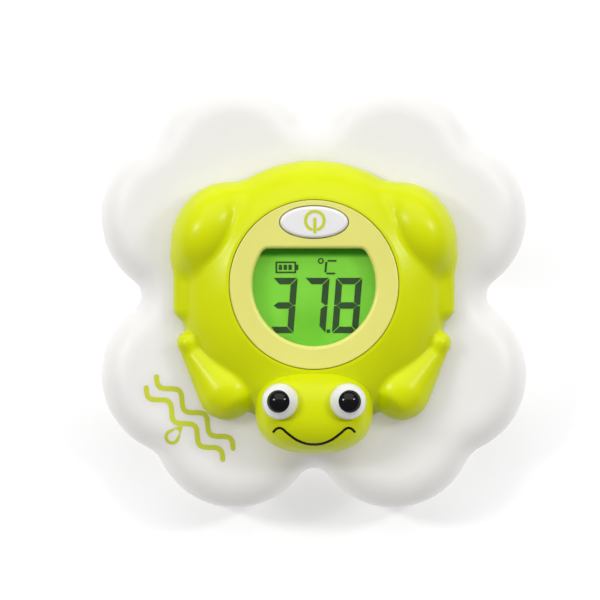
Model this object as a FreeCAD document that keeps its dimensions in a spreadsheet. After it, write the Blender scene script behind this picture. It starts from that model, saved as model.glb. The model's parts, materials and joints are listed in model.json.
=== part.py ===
import FreeCAD, Part

# A floating bath thermometer: a frog sits on a hollow flower that floats. The frog's back holds a
# round face plate with a window onto a backlit display and one oval power button. Underneath are
# a coin cell behind a coin-slot screw cap, and a steel sensor cap that touches the water.
# Millimetres. +Z is up, out of the display; -Y is the head's end. The origin is on the resting
# plane, under the middle of the flower.

import math
import os

import Sketcher
from FreeCAD import Placement, Rotation, Vector

DIMENSIONS = {
    # flower float: eight round bumps, two to a petal
    "petal_radius": 21.0, "petal_far": 33.9, "petal_near": 20.4,
    "notch_radius": 4.4, "dimple_radius": 8.0,
    "float_height": 20.0, "seam_height": 9.0, "float_wall": 2.0,
    "rim_top": 8.0, "rim_base": 6.0,
    "lip_inset": 1.1, "lip_height": 1.5, "fit_gap": 0.05,
    "float_opening": 24.0,
    # frog: a domed back, thighs, shins, arms and a separate head
    "back_radius": 34.4, "back_height": 13.0, "back_dome": 17.2, "shell_wall": 2.2,
    "thigh_x": 27.1, "thigh_y": 17.2, "thigh_z": 3.0, "thigh_turn": 61.0,
    "thigh_long": 12.2, "thigh_wide": 8.5, "thigh_high": 10.4,
    "shin_x": 33.4, "shin_radius": 2.7, "shin_length": 11.6, "shin_start": -3.4, "shin_z": 2.0,
    "arm_x": 22.5, "arm_y": -24.8, "arm_radius": 7.4, "arm_z": 1.7,
    "hand_x": 32.2, "hand_y": -12.7, "hand_radius": 2.9,
    "head_y": -30.25, "head_side": 9.3, "head_spread": 5.6, "head_crown": 24.8,
    "head_height": 17.5, "head_round": 7.8, "head_wall": 2.0, "head_chin": 2.5,
    "eye_x": 8.7, "eye_y": -27.3, "eye_radius": 4.75, "eye_height": 36.5,
    "pupil_radius": 3.6, "pupil_rise": 1.63, "pupil_x": 8.9, "pupil_seat": 39.1,
    "eye_stay": 1.2,
    "peg_x": 2.3, "peg_y": -28.0, "peg_radius": 1.5, "peg_base": 6.5, "peg_length": 8.5,
    "peg_stay": 1.0, "peg_hole_base": 5.0,
    # face plate, window, power button
    "face_y": 2.65, "face_radius": 21.75, "face_thickness": 2.8, "face_seat": 20.6,
    "window_radius": 15.8, "window_flat": 9.25, "window_corner": 2.2,
    "face_edge": 0.35, "window_edge": 1.0, "hole_edge": 0.25,
    "ledge_thickness": 1.2, "ledge_width": 1.8,
    "lens_margin": 1.2, "lens_thickness": 1.0,
    "button_y": 18.7, "button_long": 8.75, "button_wide": 4.1, "button_proud": 0.7,
    "button_gap": 0.2, "button_edge": 0.8, "flange_extra": 1.2, "flange_thickness": 0.9,
    "flange_wider": 0.3, "membrane_extra": 1.2, "membrane_thickness": 0.5, "membrane_boss": 1.8,
    "membrane_drop": 1.1, "membrane_rim": 1.2, "seat_gap": 0.1, "face_gap": 0.15,
    # display stack on the board
    "board_base": 21.6, "board_thickness": 1.6, "board_radius": 28.5,
    "display_y": -0.6, "display_long": 34.0, "display_wide": 27.5, "display_ledge": 3.0,
    "glass_thickness": 1.1, "display_top": 28.8, "frame_wall": 1.2,
    "guide_thickness": 1.9, "guide_long": 31.0, "guide_wide": 21.0,
    "led_long": 1.2, "led_wide": 3.0, "led_high": 1.6,
    "zebra_long": 30.0, "zebra_wide": 2.0, "zebra_gap": 0.2,
    "chip_ball": 7.0, "chip_x": 10.0, "chip_y": 3.0, "chip_rise": 5.0,
    "crystal_radius": 1.0, "crystal_long": 6.0, "crystal_x": -9.0, "crystal_y": 8.0,
    "part_long": 1.6, "part_wide": 0.8, "part_high": 0.6,
    "switch_side": 6.0, "switch_height": 3.5, "plunger_radius": 1.75, "plunger_gap": 0.5,
    "plunger_seat": 1.5, "plunger_travel": 0.6,
    # fasteners and bosses
    "boss_radius": 2.4, "board_boss_x": 24.5, "board_boss_y": 9.0, "board_boss_front": -21.0,
    "body_boss_ring": 29.3, "body_boss_radius": 2.8,
    "screw_shank": 1.0, "screw_head": 2.1, "screw_head_height": 1.4, "screw_clearance": 0.3,
    "cross_long": 2.4, "cross_wide": 0.5, "cross_deep": 0.7, "board_notch_gap": 0.6,
    "board_bite": 4.5, "board_pilot": 5.0, "body_bite": 5.5, "body_pilot": 6.0,
    "gasket_inner": 32.4, "gasket_outer": 33.8, "gasket_depth": 0.8,
    # coin cell well, cap and contacts
    "cell_radius": 10.0, "cell_height": 3.2, "cell_base": 5.9,
    "cap_flange": 14.5, "cap_recess": 0.5, "cap_flange_top": 2.3, "cap_neck": 12.0,
    "cap_top": 5.8, "cap_hollow": 9.0, "slot_long": 17.0, "slot_wide": 2.2, "slot_deep": 1.3,
    "well_gap": 0.2, "well_outer": 16.6, "well_top": 11.0, "well_roof": 1.4,
    "ring_middle": 11.6, "ring_section": 0.55, "ring_height": 4.0,
    "contact_sheet": 0.3, "contact_width": 4.0, "cap_floor": 1.5, "cell_gap": 0.05,
    "terminal_rise": 2.0, "negative_x": 3.0, "negative_disc": 4.0, "dimple_post": 1.0,
    "sheet_gap": 0.02, "positive_lift": 0.6,
    # temperature sensor
    "sensor_y": -27.0, "sensor_radius": 3.0, "sensor_flange": 4.5, "sensor_recess": 0.3,
    "sensor_sheet": 0.4, "sensor_top": 6.0, "sensor_boss": 5.6,
    "bead_radius": 1.0, "seal_section": 0.5,
    # leads: each leaves its terminal upright, crosses over and meets the board upright
    "lead_radius": 0.55, "lead_upright": 3.0, "lead_aside": 3.0, "lead_forward": 6.0,
    "lead_apart": 0.6, "pair_spread": 4.0, "pair_y": -17.0, "pair_upright": 4.0,
    # lengths of the solids that only cut: they start outside the stock and run past it
    "tool_over": 1.0, "tool_reach": 20.0, "tool_wide": 120.0,
}
# where the board's small components sit
PART_PLACES = [(-4, 9), (-4, 6.5), (1, 12), (15, -8), (12, -10), (-13, -6)]
# shares of the back's height at which its rings lie
RING_SHARES = (0, 0.25, 0.5, 0.72, 0.88, 1)
# edges count as level or upright within this length
FLAT = 1e-4
# each bend of a lead takes this share of the shorter run beside it
BEND_SHARE = 0.45
# a lead's volume may differ from its section times its length by this share
VOLUME_SLACK = 0.02


class Size:
    """A length that knows its value and its formula in terms of the spreadsheet's cells."""

    def __init__(self, value, formula):
        self.value, self.formula = float(value), formula

    def _with(self, other, sign, result):
        return Size(result, f"({self.formula} {sign} {size(other).formula})")

    def __add__(self, other):
        return self._with(other, "+", self.value + size(other).value)

    def __sub__(self, other):
        return self._with(other, "-", self.value - size(other).value)

    def __mul__(self, other):
        return self._with(other, "*", self.value * size(other).value)

    def __neg__(self):
        return Size(-self.value, f"(0 - {self.formula})")


def size(number):
    return number if isinstance(number, Size) else Size(number, repr(float(number)))


class Sizes:
    """The spreadsheet's cells by name."""

    def __getattr__(self, alias):
        return Size(DIMENSIONS[alias], f"Sheet.{alias}")


document = FreeCAD.newDocument("bath_thermometer")
sheet = document.addObject("Spreadsheet::Sheet", "Sheet")
for row, (cell_alias, cell_value) in enumerate(DIMENSIONS.items(), start=1):
    sheet.set(f"A{row}", cell_alias)
    sheet.set(f"B{row}", str(cell_value))
    sheet.setAlias(f"B{row}", cell_alias)
document.recompute()
s = Sizes()
NODES = []


def bind(thing, **lengths):
    """Ties an object's properties to formulas. Two underscores stand for a dot."""
    for name, length in lengths.items():
        thing.setExpression(name.replace("__", "."), size(length).formula)


def place(thing, x=0, y=0, z=0):
    at = [size(x), size(y), size(z)]
    thing.Placement.Base = Vector(*[length.value for length in at])
    bind(thing, Placement__Base__x=at[0], Placement__Base__y=at[1], Placement__Base__z=at[2])
    return thing


def node(thing, label):
    """Marks an object as a finished sub-part."""
    thing.Label = label
    NODES.append(thing)
    return thing


# ---- plain solids ----

def cylinder(name, radius, height, x=0, y=0, z=0):
    thing = document.addObject("Part::Cylinder", name)
    bind(thing, Radius=radius, Height=height)
    return place(thing, x, y, z)


def box(name, length, width, height, x=0, y=0, z=0):
    """A box centred on x and y, standing on z."""
    thing = document.addObject("Part::Box", name)
    bind(thing, Length=length, Width=width, Height=height)
    return place(thing, size(x) - size(length) * 0.5, size(y) - size(width) * 0.5, z)


def ball(name, radius, x=0, y=0, z=0):
    thing = document.addObject("Part::Sphere", name)
    bind(thing, Radius=radius)
    return place(thing, x, y, z)


def egg(name, long, wide, high, x, y, z, turn):
    """An ellipsoid with its long axis turned about Z, in degrees."""
    thing = document.addObject("Part::Ellipsoid", name)
    bind(thing, Radius2=long, Radius3=wide, Radius1=high)
    thing.Placement.Rotation = Rotation(Vector(0, 0, 1), turn)
    return place(thing, x, y, z)


def oval(name, long, wide, height, x=0, y=0, z=0):
    """An upright elliptical column."""
    curve = document.addObject("Part::Ellipse", name + "_edge")
    bind(curve, MajorRadius=long, MinorRadius=wide)
    place(curve, x, y, z)
    thing = document.addObject("Part::Extrusion", name)
    thing.Base = curve
    thing.Dir = Vector(0, 0, 1)
    thing.Solid = True
    bind(thing, LengthFwd=height)
    return thing


def torus(name, middle, section, x=0, y=0, z=0):
    thing = document.addObject("Part::Torus", name)
    bind(thing, Radius1=middle, Radius2=section)
    return place(thing, x, y, z)


def fuse(name, things):
    thing = document.addObject("Part::MultiFuse", name)
    thing.Shapes = things
    return thing


def cut(name, base, things):
    tool = things[0] if len(things) == 1 else fuse(name + "_tool", things)
    thing = document.addObject("Part::Cut", name)
    thing.Base, thing.Tool = base, tool
    return thing


def common(name, base, tool):
    thing = document.addObject("Part::Common", name)
    thing.Base, thing.Tool = base, tool
    return thing


# ---- sketches and bodies ----

def sketch_at(body, name, z=0, plane="XY_Plane"):
    """A sketch on one of the body's own origin planes, raised by z."""
    sketch = body.newObject("Sketcher::SketchObject", name)
    origin_plane = [f for f in body.Origin.OriginFeatures if f.Role == plane][0]
    sketch.AttachmentSupport = (origin_plane, [""])
    sketch.MapMode = "FlatFace"
    bind(sketch, AttachmentOffset__Base__z=z)
    return sketch


def fix(sketch, kind, *where_and_length):
    """Adds a dimension to a sketch and ties it to its formula."""
    *where, length = where_and_length
    index = sketch.addConstraint(Sketcher.Constraint(kind, *where, length.value))
    sketch.setExpression(f"Constraints[{index}]", length.formula)


def fix_point(sketch, geometry, point, x, y):
    """Holds a point of the sketch at x, y from its origin."""
    for kind, axis, length in (("DistanceX", -2, size(x)), ("DistanceY", -1, size(y))):
        if length.value:
            fix(sketch, kind, geometry, point, length)
        else:
            sketch.addConstraint(Sketcher.Constraint("PointOnObject", geometry, point, axis))


def draw_polygon(sketch, points):
    """A closed outline of straight lines through points given as (x, y) sizes."""
    corners = [(size(x), size(y)) for x, y in points]
    at = [Vector(x.value, y.value, 0) for x, y in corners]
    count = len(at)
    for k in range(count):
        sketch.addGeometry(Part.LineSegment(at[k], at[(k + 1) % count]), False)
    for k in range(count):
        sketch.addConstraint(Sketcher.Constraint("Coincident", k, 2, (k + 1) % count, 1))
    for k, (x, y) in enumerate(corners):
        fix_point(sketch, k, 1, x, y)


def draw_flower(sketch, inset=0):
    """The float's outline: bump arcs joined by notch arcs on the axes and dimples on the diagonals."""
    inset = size(inset)
    bump, notch, dimple = (s.petal_radius - inset, s.notch_radius + inset, s.dimple_radius + inset)
    far, near = s.petal_far, s.petal_near
    half_gap = (far.value - near.value) / math.sqrt(2)
    notch_out = far.value + math.sqrt((bump.value + notch.value) ** 2 - near.value ** 2)
    dimple_out = (far.value + near.value) / math.sqrt(2) + math.sqrt(
        (bump.value + dimple.value) ** 2 - half_gap ** 2)

    def arc(centre, radius, start, end):
        first = math.atan2(start.y - centre.y, start.x - centre.x)
        last = math.atan2(end.y - centre.y, end.x - centre.x)
        circle = Part.Circle(centre, Vector(0, 0, 1), radius.value)
        return sketch.addGeometry(Part.ArcOfCircle(circle, first, last), False)

    def quarter(vector, turns):
        return Rotation(Vector(0, 0, 1), 90 * turns).multVec(vector)

    ring = []
    for turns in range(4):
        notch_at = quarter(Vector(notch_out, 0, 0), turns)
        low = quarter(Vector(far.value, near.value, 0), turns)
        high = quarter(Vector(near.value, far.value, 0), turns)
        dimple_at = quarter(Vector(dimple_out, dimple_out, 0) / math.sqrt(2), turns)
        before = quarter(Vector(far.value, -near.value, 0), turns)
        next_notch = quarter(Vector(0, notch_out, 0), turns)
        ring.append((arc(notch_at, notch, low, before), notch, None))
        ring.append((arc(low, bump, notch_at, dimple_at), bump, low))
        ring.append((arc(dimple_at, dimple, high, low), dimple, None))
        ring.append((arc(high, bump, dimple_at, next_notch), bump, high))
    for k, (index, radius, centre) in enumerate(ring):
        following = ring[(k + 1) % len(ring)][0]
        # a notch or dimple runs the other way round, so its start meets the next bump's start
        ends = (1, 1) if centre is None else (2, 2)
        sketch.addConstraint(Sketcher.Constraint("Tangent", index, ends[0], following, ends[1]))
    for index, radius, centre in ring:
        fix(sketch, "Radius", index, radius)
        if centre is not None:
            across, along = (far, near) if abs(centre.x) > abs(centre.y) else (near, far)
            x = across if centre.x > 0 else -across
            y = along if centre.y > 0 else -along
            fix(sketch, "DistanceX", index, 3, x)
            fix(sketch, "DistanceY", index, 3, y)


def draw_head(sketch, inset=0):
    """A four-centred oval: two side arcs and the two long arcs of the crown and the chin."""
    inset = size(inset)
    side, crown = s.head_side - inset, s.head_crown - inset
    spread = s.head_spread
    drop = math.sqrt((crown.value - side.value) ** 2 - spread.value ** 2)
    lean = math.atan2(drop, spread.value)
    middle = s.head_y.value
    up = Vector(0, 0, 1)

    def arc(x, y, radius, start, end):
        circle = Part.Circle(Vector(x, y, 0), up, radius.value)
        return sketch.addGeometry(Part.ArcOfCircle(circle, start, end), False)

    right = arc(spread.value, middle, side, -lean, lean)
    top = arc(0, middle - drop, crown, lean, math.pi - lean)
    left = arc(-spread.value, middle, side, math.pi - lean, math.pi + lean)
    chin = arc(0, middle + drop, crown, math.pi + lean, 2 * math.pi - lean)
    order = [right, top, left, chin]
    for k, index in enumerate(order):
        sketch.addConstraint(Sketcher.Constraint("Tangent", index, 2, order[(k + 1) % 4], 1))
        fix(sketch, "Radius", index, side if index in (right, left) else crown)
    fix(sketch, "DistanceX", right, 3, spread)
    fix(sketch, "DistanceX", left, 3, -spread)
    fix(sketch, "DistanceY", right, 3, s.head_y)
    fix(sketch, "DistanceY", left, 3, s.head_y)


def new_body(name):
    return document.addObject("PartDesign::Body", name)


def pad(body, sketch, length):
    feature = body.newObject("PartDesign::Pad", sketch.Name + "_pad")
    feature.Profile = sketch
    bind(feature, Length=length)
    sketch.Visibility = False
    document.recompute()
    return feature


def round_chosen(body, feature, radius, chosen):
    """Rounds the feature's edges that the test chosen(edge) picks."""
    edges = [
        f"Edge{k}" for k, edge in enumerate(feature.Shape.Edges, start=1) if chosen(edge.BoundBox)
    ]
    fillet = body.newObject("PartDesign::Fillet", feature.Name + "_round")
    fillet.Base = (feature, edges)
    bind(fillet, Radius=radius)
    document.recompute()
    return fillet


def round_level(body, feature, z, radius):
    """Rounds every edge of the feature that lies flat at height z."""
    level = size(z).value
    return round_chosen(body, feature, radius,
                        lambda reach: abs(reach.ZMin - level) < FLAT and abs(reach.ZMax - level) < FLAT)


def round_uprights(body, feature, radius):
    """Rounds every upright edge of the feature."""
    return round_chosen(body, feature, radius,
                        lambda reach: reach.XLength < FLAT and reach.YLength < FLAT)


def round_rim(name, thing, z, radius_of):
    """Rounds the edges of a plain solid that lie flat at height z; radius_of(reach) gives each radius."""
    document.recompute()
    level = size(z).value
    fillet = document.addObject("Part::Fillet", name)
    fillet.Base = thing
    rounded = []
    for k, edge in enumerate(thing.Shape.Edges, start=1):
        reach = edge.BoundBox
        if abs(reach.ZMin - level) < FLAT and abs(reach.ZMax - level) < FLAT:
            radius = radius_of(reach).value
            rounded.append((k, radius, radius))
    fillet.Edges = rounded
    return fillet


def turned(name, points):
    """A solid of revolution about Z from an outline of (radius, height) points."""
    body = new_body(name)
    sketch = sketch_at(body, name + "_profile", plane="XZ_Plane")
    draw_polygon(sketch, points)
    feature = body.newObject("PartDesign::Revolution", name + "_turn")
    feature.Profile = sketch
    feature.ReferenceAxis = (sketch, ["V_Axis"])
    feature.Angle = 360
    document.recompute()
    return body


# ---- flower float ----

def body_screw_points():
    """The four screws between float and frog, on the diagonals."""
    reach = s.body_boss_ring * math.sqrt(0.5)
    return [(reach if x > 0 else -reach, reach if y > 0 else -reach) for x in (1, -1) for y in (1, -1)]


def flower_slab(name, inset, base, top, rounded_at=None, rounding=0):
    """A flower-shaped slab, with the edge at one height rounded if that is asked for."""
    body = new_body(name)
    outline = sketch_at(body, name + "_outline", base)
    draw_flower(outline, inset)
    slab = pad(body, outline, size(top) - base)
    if rounded_at is not None:
        round_level(body, slab, rounded_at, rounding)
    return body


def screw_clearances(name, base, height):
    return [
        cylinder(f"{name}{k}", s.screw_shank + s.screw_clearance, height, x, y, base)
        for k, (x, y) in enumerate(body_screw_points())
    ]


def make_float_top():
    seam, top, wall = s.seam_height, s.float_height, s.float_wall
    lip_base = seam - s.lip_height
    dome = flower_slab("FloatTopDome", 0, seam, top, top, s.rim_top)
    lip = flower_slab("FloatTopLip", s.lip_inset, lip_base, seam + s.tool_over)
    hollow = flower_slab("FloatTopHollow", wall, lip_base - s.tool_over, top - wall,
                         top - wall, s.rim_top - wall)
    groove = cut("FloatTopGroove", cylinder("GrooveOuter", s.gasket_outer + s.fit_gap, s.tool_over * 2,
                                            0, 0, top - s.gasket_depth),
                 [cylinder("GrooveInner", s.gasket_inner - s.fit_gap, s.tool_reach,
                           0, 0, top - wall)])
    opening = cylinder("FloatTopOpening", s.float_opening, wall * 2, 0, 0, top - wall * 1.5)
    tools = [hollow, groove, opening] + screw_clearances("FloatTopHole", top - wall * 1.5, wall * 2)
    node(cut("FloatTop", fuse("FloatTopBlank", [dome, lip]), tools), "float_top")


def make_float_base():
    seam, wall = s.seam_height, s.float_wall
    dish = flower_slab("FloatBaseDish", 0, 0, seam, 0, s.rim_base)
    hollow = flower_slab("FloatBaseHollow", wall, wall, seam + s.tool_over, wall, s.rim_base - wall)
    rebate = flower_slab("FloatBaseRebate", s.lip_inset - s.fit_gap,
                         seam - s.lip_height - s.fit_gap, seam + s.tool_over)
    well = cylinder("Well", s.well_outer, s.well_top)
    boss = cylinder("SensorBoss", s.sensor_boss, s.sensor_top, 0, s.sensor_y)
    shell = fuse("FloatBaseBlank", [cut("FloatBaseShell", dish, [hollow, rebate]), well, boss])

    # one stepped hole: flange recess, neck bore, cell pocket
    recess, neck = s.cap_flange + s.well_gap, s.cap_neck + s.well_gap
    pocket_radius, roof = s.cell_radius + s.contact_sheet, s.well_top - s.well_roof
    step, shelf = s.cap_flange_top + s.well_gap * 0.5, s.cap_top + s.well_gap * 2
    below = -s.tool_over
    bore = turned("WellBore", [(0, below), (recess, below), (recess, step), (neck, step), (neck, shelf),
                               (pocket_radius, shelf), (pocket_radius, roof), (0, roof)])
    terminals = [
        box(f"TerminalSlot{k}", s.contact_sheet * 2, s.contact_width, s.well_roof + s.tool_over * 2,
            x, 0, roof - s.tool_over)
        for k, x in enumerate((s.cell_radius + s.fit_gap, -s.negative_x))
    ]
    ledge = s.sensor_recess + s.sensor_sheet
    sensor = [
        cylinder("SensorRecess", s.sensor_flange + s.well_gap, ledge + s.tool_over,
                 0, s.sensor_y, -s.tool_over),
        cylinder("SensorRingSeat", s.sensor_radius + s.seal_section * 2 + s.face_gap,
                 s.seal_section * 2, 0, s.sensor_y, ledge),
        cylinder("SensorBore", s.sensor_radius + s.fit_gap, s.tool_reach, 0, s.sensor_y),
    ]
    node(cut("FloatBase", shell, [bore] + terminals + sensor), "float_base")


def make_body_gasket():
    base, top = s.float_height - s.gasket_depth, s.float_height
    inner, outer = s.gasket_inner, s.gasket_outer
    node(turned("BodyGasket", [(inner, base), (outer, base), (outer, top), (inner, top)]),
         "body_gasket")


# ---- frog ----

def tapered_limb(name, wide_at, narrow_at, wide, narrow):
    """A wide ball, a narrow ball and the cone that touches both."""
    start, end = (Vector(*[size(c).value for c in at]) for at in (wide_at, narrow_at))
    run = end - start
    lean = math.asin((wide.value - narrow.value) / run.Length)
    cone = document.addObject("Part::Cone", name)
    bind(cone, Radius1=wide * math.cos(lean), Radius2=narrow * math.cos(lean),
         Height=run.Length - (wide.value - narrow.value) * math.sin(lean))
    cone.Placement.Rotation = Rotation(Vector(0, 0, 1), run)
    foot = start + run.normalize() * wide.value * math.sin(lean)
    place(cone, foot.x, foot.y, foot.z)
    return [cone, ball(name + "_wide", wide, *wide_at), ball(name + "_narrow", narrow, *narrow_at)]


def frog_limbs():
    """Thighs, shins with feet, and arms that taper to a hand, on both sides."""
    limbs = []
    deck = s.float_height
    for side, name in ((1, "Right"), (-1, "Left")):
        turn = s.thigh_turn.value
        limbs.append(egg(f"Thigh{name}", s.thigh_long, s.thigh_wide, s.thigh_high,
                         s.thigh_x * side, s.thigh_y, deck + s.thigh_z,
                         180 - turn if side > 0 else turn))
        shin_x = s.shin_x * side
        shin = cylinder(f"Shin{name}", s.shin_radius, s.shin_length, shin_x, s.shin_start, deck + s.shin_z)
        shin.Placement.Rotation = Rotation(Vector(1, 0, 0), -90)
        limbs += [shin, ball(f"Foot{name}", s.shin_radius, shin_x, s.shin_start, deck + s.shin_z)]
        arm_z = deck + s.arm_z
        limbs += tapered_limb(f"Arm{name}", (s.arm_x * side, s.arm_y, arm_z),
                              (s.hand_x * side, s.hand_y, arm_z), s.arm_radius, s.hand_radius)
    return limbs


def back_dome(name, inset, base_drop):
    """The domed back: its rings lean towards the face plate as they rise."""
    radius, dome = s.back_radius - inset, s.back_dome - inset
    height = s.back_height - inset
    rings = []
    for k, share in enumerate(RING_SHARES):
        rise = height * share
        ring = document.addObject("Part::Circle", f"{name}_ring{k}")
        reach = radius.value * math.sqrt(1 - (rise.value / dome.value) ** 2)
        share_of_dome = f"{rise.formula} / {dome.formula}"
        bind(ring, Radius=Size(reach, f"{radius.formula} * sqrt(1 - pow({share_of_dome}; 2))"))
        lean = Size(s.face_y.value * rise.value / s.back_height.value,
                    f"Sheet.face_y * {rise.formula} / Sheet.back_height")
        rings.append(place(ring, 0, lean, s.float_height + rise))
    loft = document.addObject("Part::Loft", name)
    loft.Sections = rings
    loft.Solid = True
    if not base_drop:
        return loft
    skirt = cylinder(name + "_skirt", radius, base_drop, 0, 0, s.float_height - base_drop)
    return fuse(name + "_whole", [loft, skirt])


def board_screw_points():
    return [(s.board_boss_x, s.board_boss_y), (-s.board_boss_x, s.board_boss_y),
            (0, s.board_boss_front)]


def make_frog_shell():
    """The hollow back with its limbs; gives back the plain outer dome for the head to sit against."""
    deck, crown = s.float_height, s.float_height + s.back_height
    back = back_dome("Back", 0, 0)
    solid = fuse("FrogSolid", [back] + frog_limbs())
    under_deck = box("UnderDeck", s.tool_wide, s.tool_wide, s.tool_reach, 0, 0, deck - s.tool_reach)
    outer = cut("FrogOuter", solid, [under_deck])

    board_top = s.board_base + s.board_thickness
    hollow = back_dome("BackHollow", s.shell_wall, s.tool_over)
    seat_top = crown - s.face_thickness
    ledge_base = seat_top - s.ledge_thickness
    web_long = s.button_long + s.flange_extra + s.membrane_extra
    web_wide = s.button_wide + s.membrane_extra
    stays = [
        cylinder("SeatRing", s.face_radius + s.ledge_width, s.tool_reach, 0, s.face_y, ledge_base),
        oval("MembraneLedge", web_long + s.membrane_rim, web_wide + s.membrane_rim,
             s.ledge_thickness, 0, s.button_y, ledge_base),
    ]
    for k, (x, y) in enumerate(board_screw_points()):
        stays.append(cylinder(f"BoardBoss{k}", s.boss_radius, s.tool_reach, x, y, board_top))
    for k, (x, y) in enumerate(body_screw_points()):
        stays.append(cylinder(f"BodyBoss{k}", s.body_boss_radius, s.tool_reach, x, y,
                              deck - s.tool_over))
    inside = cut("FrogInside", hollow, stays)

    tools = [
        inside,
        cylinder("FaceOpening", s.face_radius + s.face_gap, s.tool_reach, 0, s.face_y, seat_top),
        cut("SeatOpening",
            cylinder("SeatBore", s.face_seat, s.tool_reach, 0, s.face_y, ledge_base - s.tool_over),
            [oval("MembraneLedgeKept", web_long + s.membrane_rim, web_wide + s.membrane_rim,
                  s.ledge_thickness, 0, s.button_y, ledge_base)]),
        oval("MembraneSeat", web_long + s.seat_gap, web_wide + s.seat_gap, s.tool_reach,
             0, s.button_y, seat_top - s.membrane_thickness),
        oval("FlangeOpening", s.button_long + s.flange_extra + s.screw_clearance,
             s.button_wide + s.flange_wider * 2, s.tool_reach, 0, s.button_y,
             ledge_base - s.tool_over),
    ]
    for k, (x, y) in enumerate(board_screw_points()):
        tools.append(cylinder(f"BoardPilot{k}", s.screw_shank, s.board_pilot, x, y, board_top))
    for k, (x, y) in enumerate(body_screw_points()):
        tools.append(cylinder(f"BodyPilot{k}", s.screw_shank, s.body_pilot, x, y, deck))
    for side in (1, -1):
        tools.append(cylinder(f"PegHole{side > 0:d}", s.peg_radius + s.fit_gap, s.tool_reach,
                              s.peg_x * side, s.peg_y, deck + s.peg_hole_base))
    node(cut("FrogShell", outer, tools), "frog_shell")
    return back


def make_head(back):
    deck = s.float_height
    body = new_body("HeadOuter")
    outline = sketch_at(body, "HeadOutline", deck)
    draw_head(outline)
    block = pad(body, outline, s.head_height)
    rounded = round_level(body, block, deck + s.head_height, s.head_round)
    round_level(body, rounded, deck, s.head_chin)

    core = new_body("HeadCore")
    inner = sketch_at(core, "HeadInner", deck + s.head_wall)
    draw_head(inner, s.head_wall)
    hollow = pad(core, inner, s.head_height - s.head_wall * 2)
    round_level(core, hollow, deck + s.head_height - s.head_wall, s.head_round - s.head_wall)

    stays = []
    for side in (1, -1):
        tag = "Right" if side > 0 else "Left"
        stays.append(cylinder(f"EyeStay{tag}", s.eye_radius + s.eye_stay, s.tool_reach,
                              s.eye_x * side, s.eye_y, deck))
        stays.append(cylinder(f"PegStay{tag}", s.peg_radius + s.peg_stay, s.tool_reach,
                              s.peg_x * side, s.peg_y, deck))
    cavity = cut("HeadCavity", core, stays)
    sockets = [
        ball(f"EyeSocket{side > 0:d}", s.eye_radius, s.eye_x * side, s.eye_y, s.eye_height)
        for side in (1, -1)
    ]
    face = cut("HeadFace", body, [back, cavity] + sockets)
    pegs = [
        cylinder(f"HeadPeg{side > 0:d}", s.peg_radius, s.peg_length, s.peg_x * side, s.peg_y,
                 deck + s.peg_base)
        for side in (1, -1)
    ]
    node(fuse("Head", [face] + pegs), "frog_head")

    for side, tag in ((1, "right"), (-1, "left")):
        x = s.eye_x * side
        lens = ball(f"PupilBall_{tag}", s.pupil_radius, s.pupil_x * side, s.eye_y,
                    s.eye_height + s.pupil_rise)
        above = box(f"PupilSeat_{tag}", s.tool_reach, s.tool_reach, s.tool_reach, x, s.eye_y,
                    s.pupil_seat)
        pupil = node(common(f"Pupil_{tag}", lens, above), f"pupil_{tag}")
        white = ball(f"EyeBall_{tag}", s.eye_radius, x, s.eye_y, s.eye_height)
        node(cut(f"Eye_{tag}", white, [pupil, back]), f"eye_white_{tag}")


# ---- face plate, window, button ----

def window_column(name, extra, base, height):
    """A round column cut flat across its top edge, with the two corners rounded."""
    radius, flat = s.window_radius + extra, s.window_flat + extra
    body = new_body(name)
    sketch = sketch_at(body, name + "_outline", base)
    centre = Vector(0, s.face_y.value, 0)
    lean = math.asin(flat.value / radius.value)
    circle = Part.Circle(centre, Vector(0, 0, 1), radius.value)
    arc = sketch.addGeometry(Part.ArcOfCircle(circle, math.pi - lean, 2 * math.pi + lean), False)
    half = radius.value * math.cos(lean)
    right, left = centre + Vector(half, flat.value, 0), centre + Vector(-half, flat.value, 0)
    line = sketch.addGeometry(Part.LineSegment(right, left), False)
    sketch.addConstraint([
        Sketcher.Constraint("Coincident", arc, 2, line, 1),
        Sketcher.Constraint("Coincident", line, 2, arc, 1),
        Sketcher.Constraint("Horizontal", line),
    ])
    fix(sketch, "Radius", arc, radius)
    fix_point(sketch, arc, 3, 0, s.face_y)
    fix(sketch, "DistanceY", line, 1, s.face_y + flat)
    column = pad(body, sketch, height)
    round_uprights(body, column, s.window_corner)
    return body


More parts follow.
